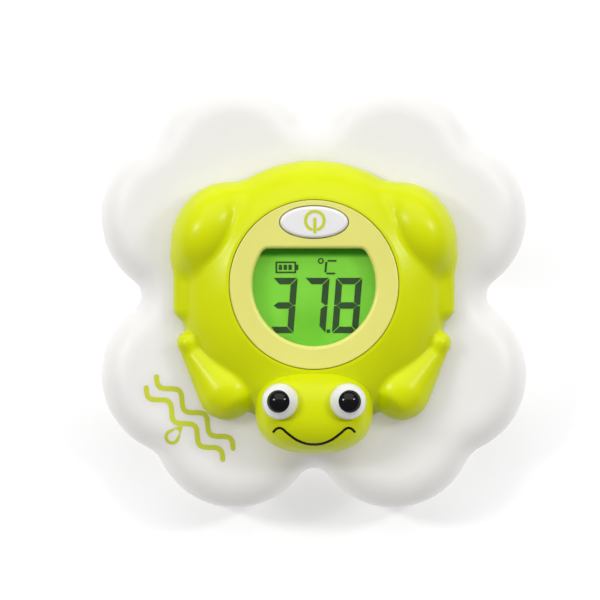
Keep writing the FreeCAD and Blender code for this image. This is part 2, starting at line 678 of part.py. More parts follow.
def make_face():
    crown = s.float_height + s.back_height
    under = crown - s.face_thickness
    start = under - s.tool_over
    disc = cylinder("FaceDisc", s.face_radius, s.face_thickness, 0, s.face_y, under)
    tools = [
        window_column("WindowHole", 0, start, s.tool_reach),
        window_column("LensRecess", s.lens_margin + s.seat_gap, start, s.lens_thickness + s.tool_over),
        oval("ButtonHole", s.button_long + s.button_gap, s.button_wide + s.button_gap,
             s.tool_reach, 0, s.button_y, start),
        oval("FlangePocket", s.button_long + s.flange_extra + s.button_gap,
             s.button_wide + s.flange_wider + s.button_gap,
             s.flange_thickness + s.button_gap + s.tool_over, 0, s.button_y, start),
    ]

    def edge_radius(reach):
        if reach.XLength > (s.face_radius + s.window_radius).value:
            return s.face_edge
        over_window = reach.YMin > (s.face_y + s.window_flat).value + FLAT
        return s.hole_edge if over_window else s.window_edge

    node(round_rim("FacePlate", cut("FaceBlank", disc, tools), crown, edge_radius), "face_plate")
    node(window_column("Window", s.lens_margin, under, s.lens_thickness), "display_window")

    flange_base = under + s.seat_gap
    stem = oval("ButtonStem", s.button_long, s.button_wide, crown + s.button_proud - flange_base,
                0, s.button_y, flange_base)
    cap = round_rim("ButtonCap", stem, crown + s.button_proud, lambda reach: s.button_edge)
    flange = oval("ButtonFlange", s.button_long + s.flange_extra, s.button_wide + s.flange_wider,
                  s.flange_thickness, 0, s.button_y, flange_base)
    node(fuse("Button", [cap, flange]), "power_button")

    sheet_base = under - s.membrane_thickness
    web = oval("MembraneWeb", s.button_long + s.flange_extra + s.membrane_extra,
               s.button_wide + s.membrane_extra, s.membrane_thickness, 0, s.button_y, sheet_base)
    boss_base = sheet_base - s.membrane_drop
    boss = cylinder("MembraneBoss", s.membrane_boss, s.membrane_drop, 0, s.button_y, boss_base)
    node(fuse("Membrane", [web, boss]), "button_membrane")
    return boss_base


# ---- board, display, switch ----

def make_display():
    board_top = s.board_base + s.board_thickness
    y = s.display_y
    glass_base = s.display_top - s.glass_thickness
    front = box("FrontGlass", s.display_long, s.display_wide, s.glass_thickness, 0, y, glass_base)
    rear = box("RearGlass", s.display_long, s.display_wide - s.display_ledge, s.glass_thickness,
               0, y + s.display_ledge * 0.5, glass_base - s.glass_thickness)
    node(fuse("DisplayPanel", [front, rear]), "lcd_panel")

    guide_top = s.display_top - s.glass_thickness * 2
    guide_y = y + s.display_ledge * 0.5
    node(box("LightGuide", s.guide_long, s.guide_wide, s.guide_thickness, 0, guide_y,
             guide_top - s.guide_thickness), "light_guide")
    node(box("BacklightLed", s.led_long, s.led_wide, s.led_high,
             (s.guide_long + s.led_long) * -0.5, guide_y, guide_top - s.guide_thickness),
         "backlight_led")
    zebra_y = y - s.display_wide * 0.5 + s.display_ledge * 0.5
    node(box("Zebra", s.zebra_long, s.zebra_wide, glass_base - board_top, 0, zebra_y, board_top),
         "zebra_strip")

    height = s.display_top - board_top
    wall = s.frame_wall
    outer = box("FrameOuter", (s.display_long + wall * 2) + s.zebra_gap,
                (s.display_wide + wall * 2) + s.zebra_gap, height, 0, y, board_top)
    glass_room = box("FrameGlassRoom", s.display_long + s.seat_gap, s.display_wide + s.seat_gap,
                     s.tool_reach, 0, y, guide_top)
    guide_room = box("FrameGuideRoom", s.guide_long + s.led_wide, s.guide_wide + s.zebra_gap,
                     s.tool_reach, 0, guide_y, guide_top - s.guide_thickness)
    zebra_room = box("FrameZebraRoom", s.zebra_long + s.zebra_gap * 2, s.zebra_wide + s.zebra_gap,
                     s.tool_reach, 0, zebra_y, board_top - s.tool_over)
    node(cut("DisplayFrame", outer, [glass_room, guide_room, zebra_room]), "lcd_frame")


def make_board():
    base = s.board_base
    disc = cylinder("BoardDisc", s.board_radius, s.board_thickness, 0, 0, base)
    holes = [
        cylinder(f"BoardHole{k}", s.screw_shank + s.screw_clearance, s.tool_reach,
                 x, y, base - s.tool_over)
        for k, (x, y) in enumerate(board_screw_points())
    ]
    holes += [
        cylinder(f"BoardNotch{k}", s.body_boss_radius + s.board_notch_gap, s.tool_reach,
                 x, y, base - s.tool_over)
        for k, (x, y) in enumerate(body_screw_points())
    ]
    node(cut("Board", disc, holes), "circuit_board")
    blob = ball("ChipBlob", s.chip_ball, s.chip_x, s.chip_y, base + s.chip_rise)
    under_board = box("UnderBoard", s.tool_reach, s.tool_reach, s.tool_reach, s.chip_x, s.chip_y,
                      base - s.tool_reach)
    node(common("Chip", blob, under_board), "controller_chip")
    tube = cylinder("CrystalCan", s.crystal_radius, s.crystal_long, s.crystal_x, s.crystal_y,
                    base - s.crystal_radius)
    tube.Placement.Rotation = Rotation(Vector(1, 0, 0), 90)
    node(tube, "clock_crystal")
    parts = [
        box(f"Chip_{k}", s.part_long, s.part_wide, s.part_high, x, y, base - s.part_high)
        for k, (x, y) in enumerate(PART_PLACES)
    ]
    node(compound("ChipComponents", parts), "chip_components")


def make_switch(boss_base):
    board_top = s.board_base + s.board_thickness
    side, high = s.switch_side, s.switch_height
    case = box("SwitchCase", side, side, high, 0, s.button_y, board_top)
    plunger_top = boss_base - s.plunger_gap
    stem_base = board_top + high - s.plunger_seat
    bore = cylinder("SwitchBore", s.plunger_radius + s.fit_gap, high, 0, s.button_y,
                    stem_base - s.plunger_travel)
    node(cut("Switch", case, [bore]), "switch_case")
    node(cylinder("Plunger", s.plunger_radius, plunger_top - stem_base, 0, s.button_y, stem_base),
         "switch_plunger")


def compound(name, things):
    group = document.addObject("Part::Compound", name)
    group.Links = things
    return group


def screw(name, x, y, seat, reach):
    """A pan-head screw that points up: its head is under seat, and its shank ends at reach."""
    head = cylinder(name + "_head", s.screw_head, s.screw_head_height, x, y,
                    seat - s.screw_head_height)
    shank = cylinder(name + "_shank", s.screw_shank, reach - seat, x, y, seat)
    cross = [
        box(f"{name}_cross{k}", long, wide, s.cross_deep, x, y, seat - s.screw_head_height)
        for k, (long, wide) in enumerate([(s.cross_long, s.cross_wide), (s.cross_wide, s.cross_long)])
    ]
    return cut(name, fuse(name + "_blank", [head, shank]), cross)


def make_screws():
    board_base = s.board_base
    board_top = board_base + s.board_thickness
    under_plate = s.float_height - s.float_wall
    node(compound("BoardScrews", [
        screw(f"BoardScrew{k}", x, y, board_base, board_top + s.board_bite)
        for k, (x, y) in enumerate(board_screw_points())
    ]), "board_screws")
    node(compound("BodyScrews", [
        screw(f"BodyScrew{k}", x, y, under_plate, s.float_height + s.body_bite)
        for k, (x, y) in enumerate(body_screw_points())
    ]), "body_screws")


# ---- battery well ----

def make_battery():
    base, flange_top, neck_top = s.cap_recess, s.cap_flange_top, s.cap_top
    ring_room = s.ring_section + s.fit_gap
    groove = s.ring_middle - ring_room
    low, high = s.ring_height - ring_room, s.ring_height + ring_room
    floor = s.cap_recess + s.slot_deep + s.cap_floor
    blank = turned("CapBlank", [
        (0, base), (s.cap_flange, base), (s.cap_flange, flange_top), (s.cap_neck, flange_top),
        (s.cap_neck, low), (groove, low), (groove, high), (s.cap_neck, high),
        (s.cap_neck, neck_top), (s.cap_hollow, neck_top), (s.cap_hollow, floor), (0, floor)])
    slot = box("CoinSlot", s.slot_long, s.slot_wide, s.slot_deep + s.tool_over,
               0, 0, s.cap_recess - s.tool_over)
    node(cut("BatteryCap", blank, [slot]), "battery_cap")
    node(torus("CapSeal", s.ring_middle, s.ring_section, 0, 0, s.ring_height), "cap_seal")
    node(cylinder("Cell", s.cell_radius - s.cell_gap, s.cell_height, 0, 0, s.cell_base), "battery_cell")

    roof = s.well_top - s.well_roof
    cell_top = s.cell_base + s.cell_height
    tab_top = s.well_top + s.terminal_rise
    sheet_metal, width = s.contact_sheet, s.contact_width
    disc = cylinder("NegativeDisc", s.negative_disc, sheet_metal, 0, 0, roof - sheet_metal)
    dimple = cylinder("NegativeDimple", s.dimple_post, roof - cell_top, 0, 0, cell_top)
    tab = box("NegativeTab", sheet_metal - s.sheet_gap, width - s.seat_gap,
              tab_top - roof + sheet_metal, -s.negative_x, 0, roof - sheet_metal)
    node(fuse("NegativeContact", [disc, dimple, tab]), "contact_negative")

    strip_base = s.cell_base + s.positive_lift
    ring = cylinder("PositiveRing", s.cell_radius + sheet_metal - s.sheet_gap, tab_top - strip_base,
                    0, 0, strip_base)
    bore = cylinder("PositiveBore", s.cell_radius, s.tool_reach, 0, 0, s.cell_base)
    slice_box = box("PositiveSlice", width, width - s.seat_gap * 2, s.tool_reach, s.cell_radius, 0,
                    s.cell_base)
    strip = common("PositiveContact", cut("PositiveSleeve", ring, [bore]), slice_box)
    node(strip, "contact_positive")


# ---- sensor ----

def make_sensor():
    base = s.sensor_recess
    skin = s.sensor_sheet
    radius, top = s.sensor_radius, s.sensor_top
    bead, seal = s.bead_radius, s.seal_section
    rim, inner = top - bead, base + skin
    cup = turned("SensorCap", [
        (0, base), (s.sensor_flange, base), (s.sensor_flange, base + skin), (radius, base + skin),
        (radius, rim), (radius - skin, rim), (radius - skin, base + skin), (0, base + skin)])
    node(place(cup, 0, s.sensor_y, 0), "sensor_cap")
    node(torus("SensorSeal", radius + seal + s.fit_gap, seal, 0, s.sensor_y, inner + seal),
         "sensor_seal")
    node(ball("ThermistorBead", bead, 0, s.sensor_y, inner + bead), "thermistor")
    plug = cylinder("PottingPlug", radius - skin, rim - inner, 0, s.sensor_y, inner)
    cap_plug = cylinder("PottingTop", radius, bead, 0, s.sensor_y, rim)
    bead_room = ball("PottingBead", bead, 0, s.sensor_y, inner + bead)
    lead_rooms = [
        cylinder(f"PottingLead{k}", s.lead_radius, s.tool_reach, x, s.sensor_y, inner + bead)
        for k, x in enumerate((s.lead_apart, -s.lead_apart))
    ]
    node(cut("Potting", fuse("PottingBlank", [plug, cap_plug]), [bead_room] + lead_rooms),
         "sensor_potting")


def lead(name, points, radius):
    """An insulated lead: straight runs joined by tangent arcs, as one tube."""
    edges = []
    at = points[0]
    for k in range(1, len(points) - 1):
        before, corner, after = points[k - 1], points[k], points[k + 1]
        inward, outward = (corner - before).normalize(), (after - corner).normalize()
        half_turn = inward.getAngle(outward) / 2
        shorter = min((corner - before).Length, (after - corner).Length)
        reach = BEND_SHARE * shorter
        bend = reach / math.tan(half_turn)
        start, end = corner - inward * reach, corner + outward * reach
        toward = (outward - inward).normalize()
        middle = corner + toward * (bend / math.cos(half_turn) - bend)
        edges += [Part.LineSegment(at, start).toShape(), Part.Arc(start, middle, end).toShape()]
        at = end
    edges.append(Part.LineSegment(at, points[-1]).toShape())
    path = Part.Wire(edges)
    first = points[1] - points[0]
    section = Part.Wire([Part.Circle(points[0], first, radius).toShape()])
    tube = document.addObject("Part::Feature", name)
    tube.Shape = path.makePipeShell([section], True, False)
    expected = math.pi * radius ** 2 * path.Length
    if abs(tube.Shape.Volume / expected - 1) > VOLUME_SLACK:
        raise RuntimeError(f"{name} has the wrong volume")
    return tube


def lead_route(start, end, leave, arrive):
    """A lead's corners: upright to height leave, across, and upright again from height arrive."""
    return [start, Vector(start.x, start.y, leave), Vector(end.x, end.y, arrive), end]


def make_leads():
    radius = s.lead_radius.value
    board = s.board_base.value
    tab = s.well_top.value + s.terminal_rise.value
    upright, aside, forward = s.lead_upright.value, s.lead_aside.value, s.lead_forward.value
    terminals = (("red", s.cell_radius.value + s.contact_sheet.value / 2, aside),
                 ("black", -s.negative_x.value, -aside))
    for colour, x, shift in terminals:
        route = lead_route(Vector(x, 0, tab), Vector(x + shift, -forward, board),
                           tab + upright, board - upright)
        node(lead(f"Lead_{colour}", route, radius), f"battery_lead_{colour}")

    inner = s.sensor_recess.value + s.sensor_sheet.value
    start, spread, upright = inner + s.bead_radius.value * 2, s.pair_spread.value, s.pair_upright.value
    pair = []
    for k, x in enumerate((s.lead_apart.value, -s.lead_apart.value)):
        route = lead_route(Vector(x, s.sensor_y.value, start), Vector(x * spread, s.pair_y.value, board),
                           s.sensor_top.value + upright, board - upright)
        pair.append(lead(f"SensorLead{k}", route, radius))
    node(compound("SensorLeads", pair), "sensor_leads")


# ---- build and write ----

def main():
    make_float_top()
    make_float_base()
    make_body_gasket()
    make_head(make_frog_shell())
    boss_base = make_face()
    make_display()
    make_board()
    make_switch(boss_base)
    make_screws()
    make_battery()
    make_sensor()
    make_leads()
    document.recompute()

    for thing in document.Objects:
        if "Invalid" in thing.State or "Error" in thing.State:
            raise RuntimeError(f"{thing.Name} is {thing.State}")
    os.makedirs("parts", exist_ok=True)
    for thing in NODES:
        shape = thing.Shape
        if shape.isNull() or not shape.isValid() or not shape.Solids:
            raise RuntimeError(f"{thing.Label} has no valid shape")
        shape.exportStep(f"parts/{thing.Label}.step")
        print(thing.Label, len(shape.Solids), round(shape.Volume, 1))


main()
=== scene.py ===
# A floating bath thermometer: a lime frog on a white flower float, with a lit display in its back.
# Shapes are worked out in millimetres in the CAD frame (+Z up out of the display, -Y the head's end)
# and turned into metres as each mesh is made. Left and right are as the camera sees them.

import json
import math

import bpy
import numpy as np
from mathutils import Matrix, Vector
from mathutils.bvhtree import BVHTree

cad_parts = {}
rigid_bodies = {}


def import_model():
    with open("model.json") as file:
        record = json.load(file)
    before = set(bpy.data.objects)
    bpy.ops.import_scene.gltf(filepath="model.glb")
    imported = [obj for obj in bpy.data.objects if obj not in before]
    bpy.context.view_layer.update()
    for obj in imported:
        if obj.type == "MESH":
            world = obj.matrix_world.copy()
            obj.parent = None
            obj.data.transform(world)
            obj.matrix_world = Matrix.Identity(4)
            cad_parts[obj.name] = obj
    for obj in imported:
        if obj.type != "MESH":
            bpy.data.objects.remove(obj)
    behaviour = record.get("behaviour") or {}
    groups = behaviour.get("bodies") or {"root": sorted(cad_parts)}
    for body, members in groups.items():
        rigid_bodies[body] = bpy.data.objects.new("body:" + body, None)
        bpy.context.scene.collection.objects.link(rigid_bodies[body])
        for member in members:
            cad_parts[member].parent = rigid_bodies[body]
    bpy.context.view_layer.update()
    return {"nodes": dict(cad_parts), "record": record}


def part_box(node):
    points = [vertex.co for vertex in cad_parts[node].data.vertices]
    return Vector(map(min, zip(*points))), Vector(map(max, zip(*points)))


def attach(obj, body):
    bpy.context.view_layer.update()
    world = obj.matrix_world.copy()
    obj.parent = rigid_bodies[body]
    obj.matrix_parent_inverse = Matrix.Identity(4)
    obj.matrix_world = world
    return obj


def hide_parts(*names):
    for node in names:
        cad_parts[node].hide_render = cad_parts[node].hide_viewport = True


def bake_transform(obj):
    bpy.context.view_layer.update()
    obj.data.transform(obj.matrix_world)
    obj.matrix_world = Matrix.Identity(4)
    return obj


MM = 0.001
ROOT = "root"
# cell sizes of the two contoured meshes
STEP_SKIN, STEP_HEAD = 0.5, 0.4
# the back's dome and the wall of the hollow mouldings
BACK_RADIUS, BACK_DOME, WALL = 34.4, 17.2, 2.2
# how far printed ink stands above its surface and reaches into it
PRINT_RISE, PRINT_SINK = 0.05, 0.02
# clearance round the face plate, and the ledge that it rests on
FACE_GAP, LEDGE_DEEP, LEDGE_REACH = 0.15, 1.2, 1.15
# how far the clear window reaches past the hole above it
LENS_MARGIN = 1.2
# how far the round head's form reaches past the CAD head: at its sides and front, and under the skin
HEAD_SPREAD, HEAD_TUCK = 0.2, 1.6
# the head's half height, how square it is, and the size that turns its field into millimetres
HEAD_RISE, HEAD_POWER, HEAD_SCALE = 11.6, 2.4, 9.0


# ---- frame ----

def clear_defaults():
    for thing in list(bpy.data.objects):
        bpy.data.objects.remove(thing)


def node_box(name):
    low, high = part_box(name)
    return np.array(low) / MM, np.array(high) / MM


def node_middle(name):
    low, high = node_box(name)
    return (low + high) / 2


clear_defaults()
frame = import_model()

DECK = node_box("frog_shell")[0][2]
CROWN = node_box("face_plate")[1][2]
FACE_Y = node_middle("face_plate")[1]
FACE_RADIUS = (node_box("face_plate")[1][0] - node_box("face_plate")[0][0]) / 2
PLATE_BASE = node_box("face_plate")[0][2]
HEAD_LOW, HEAD_HIGH = node_box("frog_head")
EYE_RIGHT = node_middle("eye_white_right")
EYE_RADIUS = (node_box("eye_white_right")[1][0] - node_box("eye_white_right")[0][0]) / 2
GLASS_TOP = node_box("lcd_panel")[1][2]
BUTTON = node_middle("power_button")
BUTTON_TOP = node_box("power_button")[1][2]
WINDOW_TOP = node_box("display_window")[1][1] - LENS_MARGIN
CAP_FACE = node_box("battery_cap")[0][2]
# the display's marks lie in this thin layer on the glass
INK_LEVELS = (GLASS_TOP + 0.02, GLASS_TOP + 0.12)


# ---- node materials ----

class Look:
    """A procedural material: a Principled shader and the nodes that feed it."""

    def __init__(self, name):
        self.material = bpy.data.materials.new(name)
        self.material.use_nodes = True
        self.tree = self.material.node_tree
        self.shader = self.tree.nodes["Principled BSDF"]
        self.place = self.tree.nodes.new("ShaderNodeTexCoord").outputs["Object"]

    def node(self, kind, **inputs):
        made = self.tree.nodes.new(kind)
        for key, value in inputs.items():
            socket = made.inputs[int(key[3:])] if key.startswith("in_") else made.inputs[key]
            if isinstance(value, bpy.types.NodeSocket):
                self.tree.links.new(value, socket)
            else:
                socket.default_value = value
        return made

    def link(self, output, name):
        self.tree.links.new(output, self.shader.inputs[name])

    def noise(self, size, detail=2.0, rough=0.5, place=None):
        """Noise whose features are about `size` millimetres across."""
        made = self.node("ShaderNodeTexNoise", Vector=place or self.place, Scale=1 / (size * MM),
                         Detail=detail, Roughness=rough)
        return made.outputs["Fac"]

    def spread(self, source, low, high, start=0.3, end=0.7):
        """Maps a factor between start and end onto low to high."""
        made = self.node("ShaderNodeMapRange", Value=source)
        for name, value in (("From Min", start), ("From Max", end), ("To Min", low), ("To Max", high)):
            made.inputs[name].default_value = value
        return made.outputs["Result"]

    def mix(self, factor, first, second):
        made = self.tree.nodes.new("ShaderNodeMix")
        made.data_type = "RGBA"
        for index, value in ((0, factor), (6, first), (7, second)):
            if isinstance(value, bpy.types.NodeSocket):
                self.tree.links.new(value, made.inputs[index])
            else:
                made.inputs[index].default_value = value
        return made.outputs[2]

    def bump(self, layers):
        """Stacks (factor, depth in mm) layers of bump onto the shader's normal."""
        normal = None
        for factor, depth in layers:
            made = self.node("ShaderNodeBump", Height=factor, Distance=depth * MM, Strength=1.0)
            if normal is not None:
                self.tree.links.new(normal, made.inputs["Normal"])
            normal = made.outputs["Normal"]
        self.link(normal, "Normal")


def shade(colour, factor):
    return (*[min(1.0, c * factor) for c in colour], 1.0)


def moulded(name, colour, rough=0.3, grain=0.004, wave=0.0, drift=0.03, coat=0.0, scatter=0.0,
            radius=(1.0, 1.0, 1.0), depth=2.0, shine=0.5, painted_glow=0.0):
    """Injection-moulded plastic: faint colour drift, fine grain, slow sink-mark waviness.

    Any light it gives off is painted light: an even white emission from the surface itself, standing in for
    the light that a translucent plastic carries round its edges."""
    look = Look(name)
    slow, fine, cloudy = look.noise(14.0), look.noise(0.45, 3.0), look.noise(5.0)
    look.link(look.mix(look.spread(slow, 0, 1), shade(colour, 1 - drift), shade(colour, 1 + drift)),
              "Base Color")
    look.link(look.spread(cloudy, rough - 0.02, rough + 0.02), "Roughness")
    look.bump([(slow, wave), (fine, grain)] if wave else [(fine, grain)])
    look.shader.inputs["IOR"].default_value = 1.5
    look.shader.inputs["Specular IOR Level"].default_value = shine
    look.shader.inputs["Coat Weight"].default_value = coat
    look.shader.inputs["Coat Roughness"].default_value = 0.12
    look.shader.inputs["Subsurface Weight"].default_value = scatter
    look.shader.inputs["Subsurface Radius"].default_value = radius
    look.shader.inputs["Subsurface Scale"].default_value = depth * MM
    # painted light: the plastic gives off an even white emission of its own
    look.shader.inputs["Emission Color"].default_value = (1.0, 0.99, 0.97, 1.0)
    look.shader.inputs["Emission Strength"].default_value = painted_glow
    return look.material


def metal(name, colour, rough=0.25):
    """Plated or stainless sheet with fine brushed scratches along X."""
    look = Look(name)
    stretched = look.node("ShaderNodeMapping", Vector=look.place, Scale=(0.08, 1.0, 1.0)).outputs["Vector"]
    brush = look.noise(0.12, 4.0, 0.6, place=stretched)
    blotch = look.noise(3.0)
    look.link(look.mix(look.spread(blotch, 0, 1), shade(colour, 0.94), shade(colour, 1.04)), "Base Color")
    look.link(look.spread(brush, rough - 0.07, rough + 0.1), "Roughness")
    look.bump([(brush, 0.002)])
    look.shader.inputs["Metallic"].default_value = 1.0
    return look.material


def clear_plastic(name):
    """Polished clear acrylic, thin enough to be shown as a glossy film over what is below it."""
    look = Look(name)
    haze = look.noise(6.0)
    look.link(look.mix(look.spread(haze, 0, 1), (0.90, 0.95, 0.88, 1), (0.95, 0.98, 0.93, 1)), "Base Color")
    look.link(look.spread(look.noise(1.0, 3.0), 0.05, 0.09), "Roughness")
    look.shader.inputs["Alpha"].default_value = 0.15
    look.shader.inputs["Transmission Weight"].default_value = 1.0
    look.shader.inputs["IOR"].default_value = 1.49
    return look.material


def lit_display(name):
    """Backlit display glass: green, brighter to the left and right, with a painted shadow along its top edge.
    """
    look = Look(name)
    axes = look.node("ShaderNodeSeparateXYZ", Vector=look.place)
    # a painted shadow of the window's top edge: the glass's colour and emission darken along it
    shadow = look.node("ShaderNodeMapRange", Value=axes.outputs["Y"])
    shadow.interpolation_type = "SMOOTHSTEP"
    for key, value in (("From Min", (WINDOW_TOP - 2.6) * MM), ("From Max", (WINDOW_TOP - 1.2) * MM),
                       ("To Min", 0.0), ("To Max", 1.0)):
        shadow.inputs[key].default_value = value
    spot = look.node("ShaderNodeVectorMath", in_0=look.place, in_1=(-1.5 * MM, -8.0 * MM, GLASS_TOP * MM))
    spot.operation = "DISTANCE"
    near = look.spread(spot.outputs["Value"], 1.0, 0.0, 1.0 * MM, 9.0 * MM)
    cloudy = look.spread(look.noise(5.0, 1.0), 0.0, 0.25)
    body = look.mix(near, (0.190, 0.590, 0.045, 1), (0.120, 0.47, 0.020, 1))
    body = look.mix(cloudy, body, (0.26, 0.64, 0.07, 1))
    body = look.mix(shadow.outputs["Result"], body, (0.035, 0.24, 0.003, 1))
    look.link(body, "Base Color")
    look.link(body, "Emission Color")
    look.shader.inputs["Emission Strength"].default_value = 0.22
    look.shader.inputs["Specular IOR Level"].default_value = 0.15
    look.link(look.spread(look.noise(0.3), 0.35, 0.45), "Roughness")
    return look.material


LIME = (0.68, 0.76, 0.002)
LOOKS = {
    # the float's white plastic gives off painted light that lightens its shaded rims and shadows
    "float_white": moulded("float_white", (0.74, 0.72, 0.70), 0.42, 0.0008, wave=0.02, drift=0.01,
                           scatter=0.8, radius=(1.0, 0.95, 0.88), depth=8.0, shine=0.35, painted_glow=0.14),
    "frog_lime": moulded("frog_lime", LIME, 0.30, 0.0006, wave=0.02, drift=0.03, scatter=0.03,
                         radius=(1.0, 0.9, 0.2), depth=1.0, shine=0.22),
    "face_lime": moulded("face_lime", (0.82, 0.795, 0.205), 0.34, 0.001, 0.0, 0.02, 0.0, 0.1),
    "eye_white": moulded("eye_white", (0.86, 0.86, 0.84), 0.16, 0.001, 0.0, 0.01, 0.5, 0.1),
    "eye_black": moulded("eye_black", (0.006, 0.006, 0.006), 0.10, 0.0003, 0.0, 0.2, shine=0.25),
    "button_white": moulded("button_white", (0.87, 0.86, 0.86), 0.34, 0.001, 0.0, 0.01, 0.0, 0.2),
    "clear_window": clear_plastic("clear_window"),
    "silicone": moulded("silicone", (0.70, 0.70, 0.67), 0.55, 0.006, 0.0, 0.03, 0.0, 0.4),
    "seal_black": moulded("seal_black", (0.020, 0.020, 0.021), 0.55, 0.006, 0.0, 0.15),
    "display_glass": lit_display("display_glass"),
    "diffuser": moulded("diffuser", (0.70, 0.83, 0.62), 0.45, 0.002, 0.0, 0.02, 0.0, 0.5),
    "led_body": moulded("led_body", (0.90, 0.86, 0.62), 0.40, 0.002, 0.0, 0.04),
    "frame_white": moulded("frame_white", (0.75, 0.75, 0.72), 0.45, 0.006, 0.0, 0.02),
    "switch_black": moulded("switch_black", (0.030, 0.030, 0.034), 0.40, 0.004, 0.0, 0.15),
    "board_green": moulded("board_green", (0.012, 0.13, 0.045), 0.32, 0.006, 0.0, 0.12, 0.3),
    "chip_black": moulded("chip_black", (0.022, 0.022, 0.025), 0.48, 0.006, 0.0, 0.15),
    "steel": metal("steel", (0.60, 0.61, 0.62)),
    "cell_steel": metal("cell_steel", (0.68, 0.69, 0.70), 0.18),
    "wire_red": moulded("wire_red", (0.50, 0.012, 0.012), 0.38, 0.003, 0.0, 0.08),
    "wire_black": moulded("wire_black", (0.020, 0.020, 0.022), 0.38, 0.003, 0.0, 0.15),
    "wire_grey": moulded("wire_grey", (0.24, 0.24, 0.25), 0.38, 0.003, 0.0, 0.08),
    "potting": moulded("potting", (0.035, 0.035, 0.038), 0.30, 0.008, 0.02, 0.15),
}
INK = moulded("display_ink", (0.028, 0.075, 0.020), 0.35, 0.001, 0.0, 0.1)
PRINT_LIME = moulded("print_lime", (0.60, 0.66, 0.03), 0.40, 0.002, 0.0, 0.03)
SMILE_BLACK = moulded("smile_black", (0.006, 0.006, 0.005), 0.35, 0.001, 0.0, 0.1, shine=0.15)


def dress_nodes():
    for part in frame["record"]["subparts"]:
        mesh = frame["nodes"][part["node"]].data
        mesh.materials.clear()
        mesh.materials.append(LOOKS[part["material_slot"]])


# ---- meshes ----

def add_mesh(name, points, faces, material, body=ROOT, sharp=40.0):
    """Turns points in millimetres into a smooth-shaded piece that rides on a body."""
    mesh = bpy.data.meshes.new(name)
    mesh.from_pydata([tuple(p) for p in np.asarray(points) * MM], [], [tuple(f) for f in faces])
    mesh.validate()
    mesh.materials.append(material)
    mesh.shade_smooth()
    mesh.set_sharp_from_angle(angle=math.radians(sharp))
    piece = bpy.data.objects.new(name, mesh)
    bpy.context.scene.collection.objects.link(piece)
    if body:
        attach(piece, body)
    return piece


def gradient(field, points, reach=0.02):
    slopes = []
    for axis in range(3):
        shift = np.zeros(3)
        shift[axis] = reach
        slopes.append(field(points + shift) - field(points - shift))
    return np.stack(slopes, -1) / (2 * reach)


def contour(field, low, high, step):
    """Closed quad mesh of a solid, field < 0 inside, that keeps its sharp edges (dual contouring)."""
    halvings, rank_limit, smooth_limit, settle_rounds = 12, 0.08, 0.96, 3
    counts = [int(math.ceil((b - a) / step)) + 1 for a, b in zip(low, high)]
    axes = [low[k] + step * np.arange(counts[k]) for k in range(3)]
    grid = np.stack(np.meshgrid(*axes, indexing="ij"), -1)
    value = field(grid)
    inside = value < 0

    def crossings(axis):
        near = [slice(None)] * 3
        far = [slice(None)] * 3
        near[axis], far[axis] = slice(0, -1), slice(1, None)
        return np.argwhere(inside[tuple(near)] != inside[tuple(far)])

    keys, origins, normals = [], [], []
    shape = np.array(value.shape)
    quads = []
    for axis in range(3):
        start = crossings(axis)
        unit = np.zeros(3, int)
        unit[axis] = 1
        first = value[tuple(start.T)]
        second = value[tuple((start + unit).T)]
        part = np.clip(first / (first - second), 0.0, 1.0)
        base = np.array(low) + step * start
        along = unit * step
        lo_t, hi_t = np.zeros(len(part)), np.ones(len(part))
        for _ in range(halvings):
            here = field(base + along * part[:, None])
            same = (here < 0) == (first < 0)
            lo_t = np.where(same, part, lo_t)
            hi_t = np.where(same, hi_t, part)
            part = (lo_t + hi_t) / 2
        place = base + along * part[:, None]
        slope = gradient(field, place)
        slope /= np.maximum(np.linalg.norm(slope, axis=1, keepdims=True), 1e-9)
        u, v = (axis + 1) % 3, (axis + 2) % 3
        ring = []
        for du, dv in ((-1, -1), (0, -1), (0, 0), (-1, 0)):
            cell = start.copy()
            cell[:, u] += du
            cell[:, v] += dv
            key = (cell[:, 0] * shape[1] + cell[:, 1]) * shape[2] + cell[:, 2]
            ring.append(key)
            keys.append(key)
            origins.append(place)
            normals.append(slope)
        quad = np.stack(ring, 1)
        flip = first > 0
        quad[flip] = quad[flip][:, ::-1]
        quads.append(quad)
    keys, origins, normals = np.concatenate(keys), np.concatenate(origins), np.concatenate(normals)
    quads = np.concatenate(quads)
    unique, index = np.unique(keys, return_inverse=True)
    count = len(unique)
    hits = np.bincount(index, minlength=count).astype(float)
    middle = np.stack([np.bincount(index, origins[:, k], count) for k in range(3)], 1) / hits[:, None]
    offset = ((origins - middle[index]) * normals).sum(1)
    matrix = np.zeros((count, 3, 3))
    vector = np.zeros((count, 3))
    mean = np.zeros((count, 3))
    for a in range(3):
        vector[:, a] = np.bincount(index, normals[:, a] * offset, count)
        mean[:, a] = np.bincount(index, normals[:, a], count)
        for b in range(3):
            matrix[:, a, b] = np.bincount(index, normals[:, a] * normals[:, b], count)
    move = np.einsum("nab,nb->na", np.linalg.pinv(matrix, rcond=rank_limit, hermitian=True), vector)
    reach = np.linalg.norm(move, axis=1, keepdims=True)
    points = middle + move * np.minimum(1.0, step / np.maximum(reach, 1e-9))
    smooth = np.linalg.norm(mean, axis=1) / hits > smooth_limit
    for _ in range(settle_rounds):
        slope = gradient(field, points[smooth])
        size = np.maximum((slope ** 2).sum(1, keepdims=True), 1e-6)
        points[smooth] -= slope * (field(points[smooth])[:, None] / size)
    return points, np.searchsorted(unique, quads)


def prism(outlines, low, high):
    """Upright prisms on convex outlines."""
    points, faces = [], []
    for outline in outlines:
        start, count = len(points), len(outline)
        points += [(x, y, low) for x, y in outline] + [(x, y, high) for x, y in outline]
        bottom = list(range(start, start + count))
        top = [k + count for k in bottom]
        faces += [bottom[::-1], top]
        faces += [(bottom[k], bottom[(k + 1) % count], top[(k + 1) % count], top[k]) for k in range(count)]
    return points, faces


def arc(centre, radius, start, end, count):
    """Points round a centre from the start angle to the end angle, in degrees."""
    angles = np.radians(np.linspace(start, end, count))
    return [(centre[0] + radius * math.cos(a), centre[1] + radius * math.sin(a)) for a in angles]


